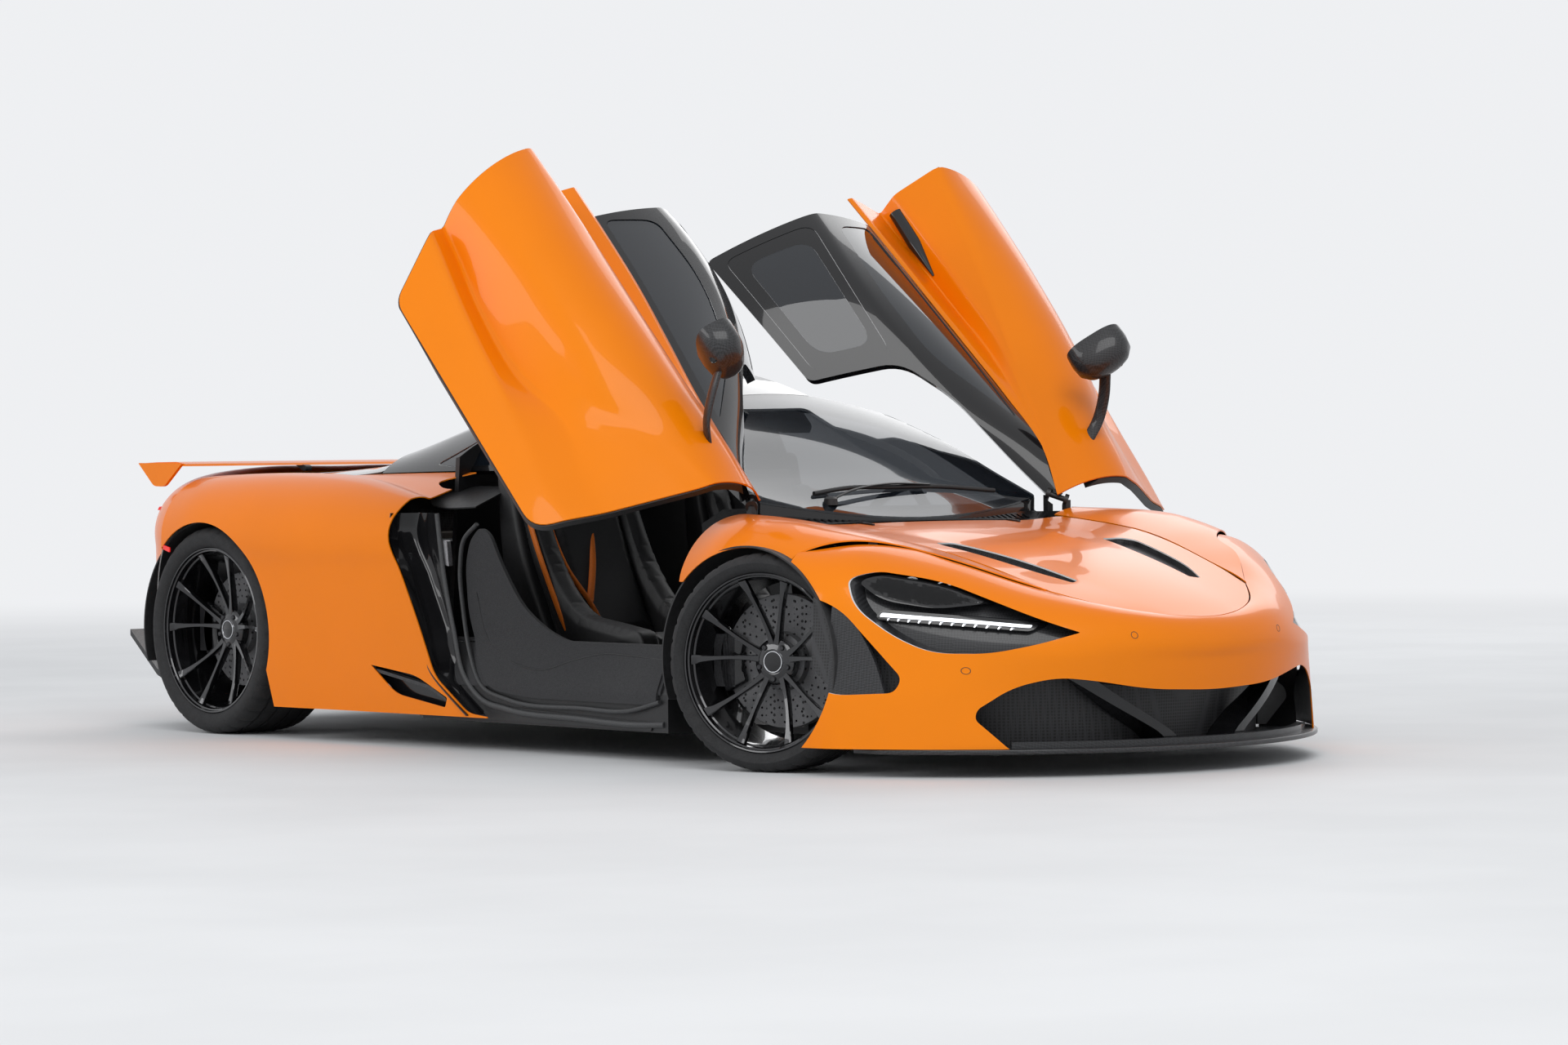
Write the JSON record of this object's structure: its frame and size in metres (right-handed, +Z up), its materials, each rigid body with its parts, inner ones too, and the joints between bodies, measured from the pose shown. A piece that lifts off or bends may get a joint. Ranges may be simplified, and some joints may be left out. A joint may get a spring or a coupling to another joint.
{
  "type": "supercar",
  "caption": "Low mid-engined two-seat supercar with doors that swing up and forward, a lifting front lid, a tilting rear wing and steered front wheels.",
  "frame": {"origin": "on the ground under the middle of the car's length and width", "axes": "-Y is forward, towards the nose; +Z is up; +X is the car's left"},
  "size_m": [2.688, 4.5485, 1.8261],
  "materials": {
    "paint": "bright orange clear-coated paint",
    "dark_trim": "dark woven carbon and black gloss trim",
    "glass": "dark tinted glass",
    "mirror_shell": "gloss woven carbon",
    "lamp": "dark lamp unit behind a clear lens",
    "pipe_metal": "heat-tinted steel",
    "tub_carbon": "carbon cabin tub",
    "cabin_trim": "black leather and soft trim",
    "seat_cloth": "black suede cloth with orange piping bands",
    "engine_metal": "cast engine block",
    "arm_metal": "forged aluminium",
    "tyre": "black tyre rubber",
    "rim_black": "gloss black forged alloy",
    "brake_disc": "grey drilled brake disc"
  },
  "bodies": {
    "chassis": {"front_bumper": "paint", "fender_right": "paint", "fender_left": "paint", "quarter_right": "paint", "quarter_left": "paint", "rear_deck": "paint", "rear_bumper": "paint", "splitter": "dark_trim", "mouth_wall": "dark_trim", "diffuser": "dark_trim", "cowl": "dark_trim", "intake_blades": "dark_trim", "upper_frame": "dark_trim", "luggage_tray": "dark_trim", "windscreen": "glass", "rear_screen": "glass", "headlamps": "lamp", "tail_lamps": "lamp", "exhausts": "pipe_metal", "tub": "tub_carbon", "dashboard": "cabin_trim", "seat_right": "seat_cloth", "seat_left": "seat_cloth", "engine": "engine_metal", "front_suspension": "arm_metal", "rear_suspension": "arm_metal"},
    "bonnet": {"bonnet": "paint"},
    "rear_wing": {"rear_wing": "paint"},
    "door_right": {"door_right": "paint", "door_glass_right": "glass", "door_mirror_right": "mirror_shell"},
    "door_left": {"door_left": "paint", "door_glass_left": "glass", "door_mirror_left": "mirror_shell"},
    "steering_wheel": {"steering_wheel": "cabin_trim"},
    "knuckle_right": {"knuckle_right": "arm_metal"},
    "knuckle_left": {"knuckle_left": "arm_metal"},
    "wheel_front_right": {"tyre_front_right": "tyre", "rim_front_right": "rim_black", "disc_front_right": "brake_disc"},
    "wheel_front_left": {"tyre_front_left": "tyre", "rim_front_left": "rim_black", "disc_front_left": "brake_disc"},
    "wheel_rear_right": {"tyre_rear_right": "tyre", "rim_rear_right": "rim_black", "disc_rear_right": "brake_disc"},
    "wheel_rear_left": {"tyre_rear_left": "tyre", "rim_rear_left": "rim_black", "disc_rear_left": "brake_disc"}
  },
  "joints": [
    {"name": "door_right_swing", "type": "hinge", "parent": "chassis", "child": "door_right", "pos_m": [-0.7, -0.8925, 0.718], "axis": [-0.6232, -0.7052, -0.3381], "range_deg": [0, 68.66]},
    {"name": "door_left_swing", "type": "hinge", "parent": "chassis", "child": "door_left", "pos_m": [0.7, -0.8925, 0.718], "axis": [-0.6232, 0.7052, 0.3381], "range_deg": [0, 68.66]},
    {"name": "bonnet_lift", "type": "hinge", "parent": "chassis", "child": "bonnet", "pos_m": [0, -0.8865, 0.671], "axis": [-1, 0, 0], "range_deg": [0, 58]},
    {"name": "wing_tilt", "type": "hinge", "parent": "chassis", "child": "rear_wing", "pos_m": [0, 1.8335, 0.862], "axis": [1, 0, 0], "range_deg": [0, 45]},
    {"name": "steer_right", "type": "hinge", "parent": "chassis", "child": "knuckle_right", "pos_m": [-0.745, -1.1295, 0.31], "axis": [0, 0, 1], "range_deg": [-47, 13]},
    {"name": "steer_left", "type": "hinge", "parent": "chassis", "child": "knuckle_left", "pos_m": [0.745, -1.1295, 0.31], "axis": [0, 0, 1], "range_deg": [-47, 13]},
    {"name": "steering_wheel_turn", "type": "hinge", "parent": "chassis", "child": "steering_wheel", "pos_m": [0.375, -0.3665, 0.64], "axis": [0, 0.9135, 0.4067], "range_deg": [-611, 169]},
    {"name": "wheel_front_right_spin", "type": "hinge", "parent": "knuckle_right", "child": "wheel_front_right", "pos_m": [-0.82629, -1.15435, 0.31], "axis": [0.9563, 0.2924, 0], "continuous": true},
    {"name": "wheel_front_left_spin", "type": "hinge", "parent": "knuckle_left", "child": "wheel_front_left", "pos_m": [0.82629, -1.10465, 0.31], "axis": [0.9563, 0.2924, 0], "continuous": true},
    {"name": "wheel_rear_right_spin", "type": "hinge", "parent": "chassis", "child": "wheel_rear_right", "pos_m": [-0.8, 1.5255, 0.338], "axis": [1, 0, 0], "continuous": true},
    {"name": "wheel_rear_left_spin", "type": "hinge", "parent": "chassis", "child": "wheel_rear_left", "pos_m": [0.8, 1.5255, 0.338], "axis": [1, 0, 0], "continuous": true}
  ],
  "couplings": [
    {"joint": "steer_left", "follows": "steer_right", "ratio": 1},
    {"joint": "steering_wheel_turn", "follows": "steer_right", "ratio": 13}
  ]
}
